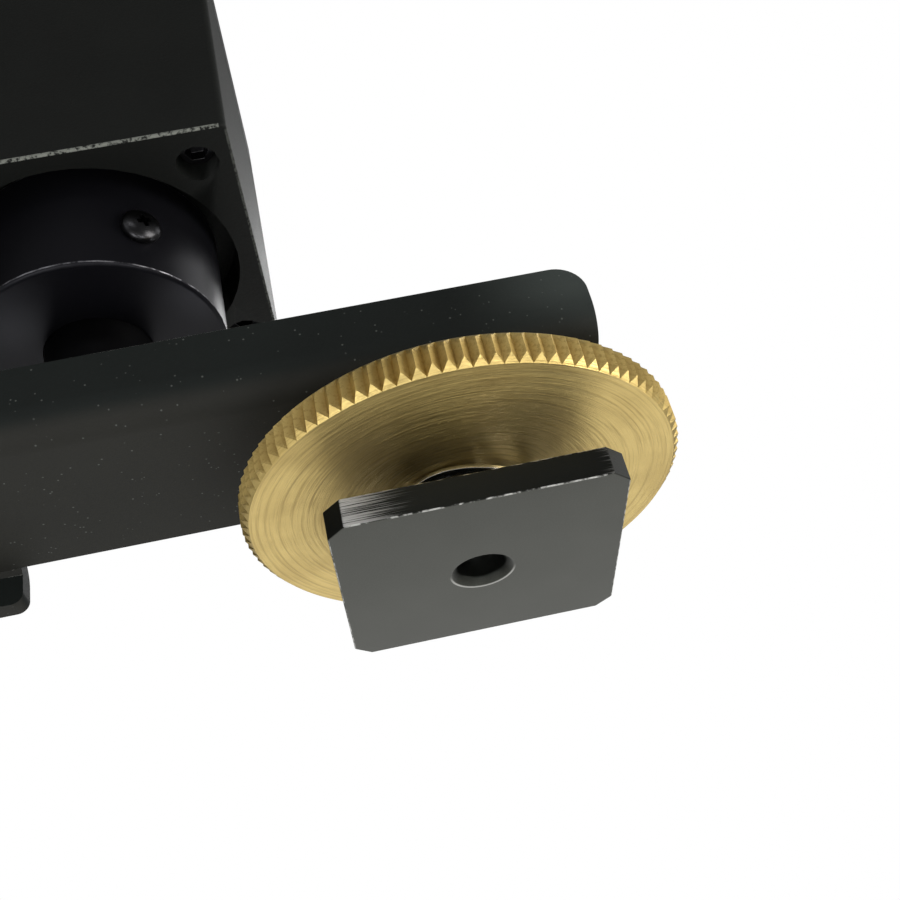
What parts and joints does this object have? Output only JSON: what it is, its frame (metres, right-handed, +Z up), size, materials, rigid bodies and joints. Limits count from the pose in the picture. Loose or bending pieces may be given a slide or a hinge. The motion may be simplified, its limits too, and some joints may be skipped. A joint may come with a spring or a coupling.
{
  "type": "star tracker mount",
  "caption": "Motor-driven tracker head turning on a spindle over a bent sheet arm, held by an accessory-shoe foot with a knurled brass clamping wheel.",
  "frame": {"origin": "centre of the shoe foot underside, on the axis of the foot stud", "axes": "+Z up along the foot stud and the parallel spindle, +X along the arm away from the drive head, +Y across the arm"},
  "size_m": [0.0799, 0.0302, 0.0576],
  "materials": {
    "foot_black": "satin black anodised, fine milled grain, worn bright at the lower edge",
    "arm_black": "matt black textured coat on bent sheet",
    "wheel_brass": "turned brass with a vee knurl and fine concentric lathe lines",
    "plated_steel": "bright nickel plate",
    "spindle_steel": "turned steel",
    "hub_black": "smooth black anodised, rim worn bright",
    "screw_nickel": "dark nickel plated screws",
    "housing_black": "black coated casting with a fine grain",
    "cover_black": "black anodised cover",
    "gasket_rubber": "black rubber sheet",
    "bush_bronze": "oil-filled bronze",
    "gear_brass": "hobbed brass",
    "motor_steel": "pressed and plated steel",
    "board_green": "glass-filled circuit board",
    "socket_steel": "drawn steel shell",
    "moulded_black": "black moulding",
    "light_red": "red lens"
  },
  "bodies": {
    "arm": {"arm_bracket": "arm_black", "shoe_foot": "foot_black", "shoe_stud": "plated_steel", "stud_washer": "plated_steel", "stud_nut": "plated_steel", "spindle_base": "hub_black", "spindle": "spindle_steel", "base_stud_1": "plated_steel", "base_stud_2": "plated_steel", "base_stud_3": "plated_steel", "base_stud_4": "plated_steel", "base_nut_1": "plated_steel", "base_nut_2": "plated_steel", "base_nut_3": "plated_steel", "base_nut_4": "plated_steel", "output_hub": "hub_black", "hub_screw_1": "screw_nickel", "hub_screw_2": "screw_nickel", "hub_screw_3": "screw_nickel", "gear_spacer": "spindle_steel", "output_gear": "gear_brass", "spindle_washer": "spindle_steel", "spindle_screw": "spindle_steel"},
    "clamp_carrier": {"wave_washer": "plated_steel"},
    "clamp_wheel": {"clamp_wheel": "wheel_brass"},
    "idler": {"idler_shaft": "spindle_steel", "idler_pinion": "spindle_steel", "idler_gear": "gear_brass"},
    "motor_rotor": {"motor_shaft": "spindle_steel", "motor_pinion": "spindle_steel"},
    "power_button": {"power_button": "moulded_black"},
    "direction_slider": {"direction_slider": "moulded_black"},
    "drive_head": {"gear_bridge": "spindle_steel", "case_screw_1": "screw_nickel", "case_screw_2": "screw_nickel", "case_screw_3": "screw_nickel", "case_screw_4": "screw_nickel", "drive_housing": "housing_black", "top_cover": "cover_black", "axis_cap": "cover_black", "cover_gasket": "gasket_rubber", "lower_bush": "bush_bronze", "upper_bush": "bush_bronze", "tripod_bush": "gear_brass", "motor_can": "motor_steel", "motor_screw_1": "motor_steel", "motor_screw_2": "motor_steel", "bridge_screw_1": "motor_steel", "bridge_screw_2": "motor_steel", "circuit_board": "board_green", "power_socket": "socket_steel", "button_switch": "moulded_black", "direction_switch": "moulded_black", "status_light": "light_red"}
  },
  "joints": [
    {"name": "head_turn", "type": "hinge", "parent": "arm", "child": "drive_head", "pos_m": [-0.0239, 0, 0], "axis": [0, 0, 1], "continuous": true},
    {"name": "idler_turn", "type": "hinge", "parent": "drive_head", "child": "idler", "pos_m": [-0.0369, 0, 0], "axis": [0, 0, 1], "continuous": true},
    {"name": "motor_turn", "type": "hinge", "parent": "drive_head", "child": "motor_rotor", "pos_m": [-0.0474, 0, 0], "axis": [0, 0, 1], "continuous": true},
    {"name": "wheel_travel", "type": "slide", "parent": "arm", "child": "clamp_carrier", "axis": [0, 0, 1], "range_m": [-0.0019, 0.0008]},
    {"name": "wheel_turn", "type": "hinge", "parent": "clamp_carrier", "child": "clamp_wheel", "pos_m": [0, 0, 0], "axis": [0, 0, 1], "range_deg": [-684.5, 288.5]},
    {"name": "button_press", "type": "slide", "parent": "drive_head", "child": "power_button", "axis": [1, 0, 0], "range_m": [0, 0.0005], "stiffness_N_per_m": 400, "springref_m": -0.0003},
    {"name": "direction_slide", "type": "slide", "parent": "drive_head", "child": "direction_slider", "axis": [0, 1, 0], "range_m": [0, 0.002]}
  ],
  "couplings": [
    {"joint": "idler_turn", "follows": "head_turn", "ratio": 3.3333},
    {"joint": "motor_turn", "follows": "head_turn", "ratio": -8.3333},
    {"joint": "wheel_turn", "follows": "wheel_travel", "rad_per_m": 6283.2}
  ]
}
